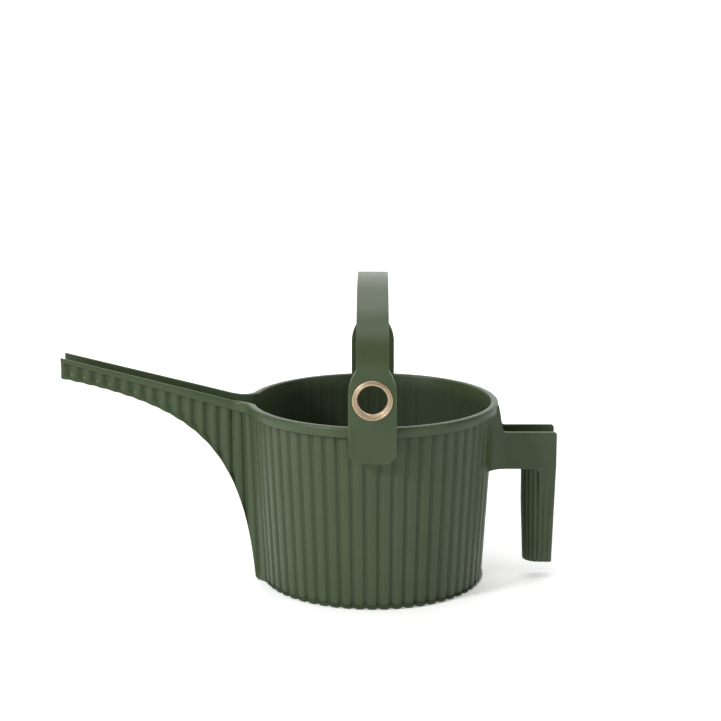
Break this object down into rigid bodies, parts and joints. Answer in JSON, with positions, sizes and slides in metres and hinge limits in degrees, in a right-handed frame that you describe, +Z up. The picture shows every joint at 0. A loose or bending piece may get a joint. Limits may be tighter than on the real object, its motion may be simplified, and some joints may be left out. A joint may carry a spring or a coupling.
{
  "type": "watering can",
  "caption": "Ribbed plastic watering can with an open trough spout, a rear grip and a swinging strap bail held by metal eyelets.",
  "frame": {"origin": "middle of the tub's flat base, on the surface that the can stands on", "axes": "+Z up, -X towards the spout's mouth, +X towards the rear grip; the bail's pivots lie along Y"},
  "size_m": [0.392, 0.2126, 0.246],
  "materials": {
    "green_plastic": "satin, dark green",
    "brass": "brushed, warm gold",
    "pin_plastic": "natural nylon"
  },
  "bodies": {
    "can": {"tub": "green_plastic", "spout": "green_plastic", "grip_arm": "green_plastic", "grip_leg": "green_plastic", "pivot_pin_left": "pin_plastic", "pivot_pin_right": "pin_plastic"},
    "bail": {"bail": "green_plastic", "eyelet_left": "brass", "eyelet_right": "brass", "eyelet_washer_left": "brass", "eyelet_washer_right": "brass"}
  },
  "joints": [
    {"name": "bail_swing", "type": "hinge", "parent": "can", "child": "bail", "pos_m": [0, 0, 0.134], "axis": [0, 1, 0], "range_deg": [-76, 88]}
  ]
}
